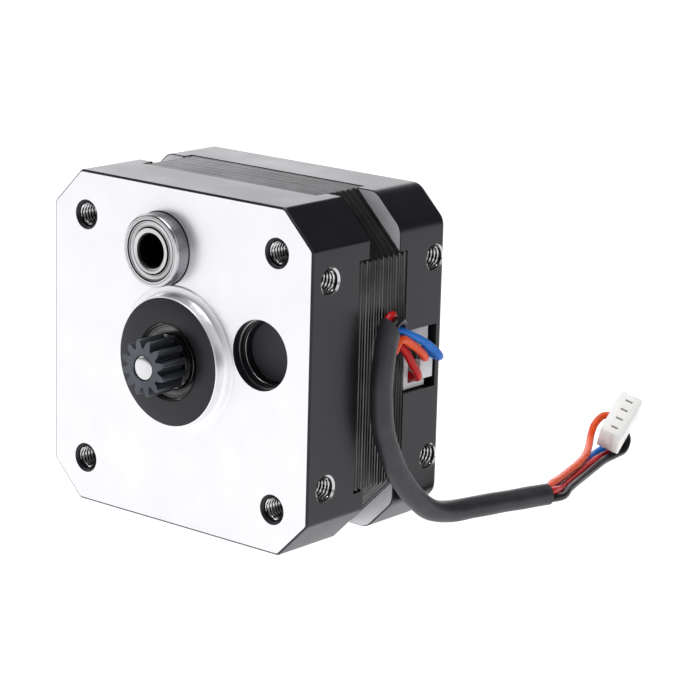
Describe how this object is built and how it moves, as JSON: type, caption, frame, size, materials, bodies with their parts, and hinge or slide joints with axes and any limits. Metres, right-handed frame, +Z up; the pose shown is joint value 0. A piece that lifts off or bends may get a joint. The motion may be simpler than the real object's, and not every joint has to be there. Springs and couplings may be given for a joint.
{
  "type": "extruder gear assembly",
  "caption": "Pancake stepper drive for a filament extruder: toothed pinion on the shaft, idler bearing and a blind pocket in its gear face, sleeved leads with a small plug.",
  "frame": {"origin": "middle of the motor's footprint, halfway between the pinion's front and the rear cap, on the surface that the motor stands on", "axes": "+Z up, +Y along the shaft from the gear face into the motor, +X to the side that the leads leave"},
  "size_m": [0.0497, 0.073, 0.042],
  "materials": {
    "cap_paint": "satin",
    "laminations": "satin",
    "bearing_steel": "polished",
    "dark_steel": "satin",
    "winding": "satin",
    "white_plastic": "satin",
    "magnet": "matte",
    "brass": "satin",
    "sleeve": "satin",
    "blue_lead": "satin",
    "orange_lead": "satin",
    "red_lead": "satin",
    "black_lead": "satin"
  },
  "bodies": {
    "housing": {"front_cap": "cap_paint", "rear_cap": "cap_paint", "stator_core": "laminations", "coil_1": "winding", "coil_2": "winding", "coil_3": "winding", "coil_4": "winding", "coil_5": "winding", "coil_6": "winding", "coil_7": "winding", "coil_8": "winding", "front_insulator": "white_plastic", "rear_insulator": "white_plastic", "lead_block": "white_plastic", "front_bearing_outer_ring": "bearing_steel", "front_bearing_front_shield": "bearing_steel", "front_bearing_rear_shield": "bearing_steel", "rear_bearing_outer_ring": "bearing_steel", "rear_bearing_front_shield": "bearing_steel", "rear_bearing_rear_shield": "bearing_steel", "idler_bearing_outer_ring": "bearing_steel", "idler_bearing_front_shield": "bearing_steel", "idler_bearing_rear_shield": "bearing_steel", "wave_washer": "bearing_steel", "long_screw_1": "dark_steel", "long_screw_2": "dark_steel", "long_screw_3": "dark_steel", "long_screw_4": "dark_steel", "cable_sleeve": "sleeve", "blue_lead_motor_side": "blue_lead", "blue_lead_plug_side": "blue_lead", "orange_lead_motor_side": "orange_lead", "orange_lead_plug_side": "orange_lead", "red_lead_motor_side": "red_lead", "red_lead_plug_side": "red_lead", "black_lead_motor_side": "black_lead", "black_lead_plug_side": "black_lead", "plug_housing": "white_plastic"},
    "rotor": {"shaft": "bearing_steel", "front_rotor_cup": "laminations", "rear_rotor_cup": "laminations", "rotor_magnet": "magnet", "front_spacer": "brass", "rear_spacer": "brass", "pinion": "dark_steel", "pinion_collar": "bearing_steel", "front_bearing_inner_ring": "bearing_steel", "rear_bearing_inner_ring": "bearing_steel"},
    "front_cage": {"front_bearing_ball_cage": "bearing_steel"},
    "rear_cage": {"rear_bearing_ball_cage": "bearing_steel"},
    "idler_ring": {"idler_bearing_inner_ring": "bearing_steel"},
    "idler_cage": {"idler_bearing_ball_cage": "bearing_steel"}
  },
  "joints": [
    {"name": "rotor_spin", "type": "hinge", "parent": "housing", "child": "rotor", "pos_m": [0, -0.0092, 0.021], "axis": [0, 1, 0], "continuous": true},
    {"name": "front_cage_spin", "type": "hinge", "parent": "housing", "child": "front_cage", "pos_m": [0, -0.008, 0.021], "axis": [0, 1, 0], "continuous": true},
    {"name": "rear_cage_spin", "type": "hinge", "parent": "housing", "child": "rear_cage", "pos_m": [0, 0.0113, 0.021], "axis": [0, 1, 0], "continuous": true},
    {"name": "idler_spin", "type": "hinge", "parent": "housing", "child": "idler_ring", "pos_m": [-0.00281, -0.0092, 0.0342], "axis": [0, 1, 0], "continuous": true},
    {"name": "idler_cage_spin", "type": "hinge", "parent": "housing", "child": "idler_cage", "pos_m": [-0.00281, -0.0092, 0.0342], "axis": [0, 1, 0], "continuous": true}
  ],
  "couplings": [
    {"joint": "front_cage_spin", "follows": "rotor_spin", "ratio": 0.406},
    {"joint": "rear_cage_spin", "follows": "rotor_spin", "ratio": 0.406},
    {"joint": "idler_cage_spin", "follows": "idler_spin", "ratio": 0.409}
  ]
}
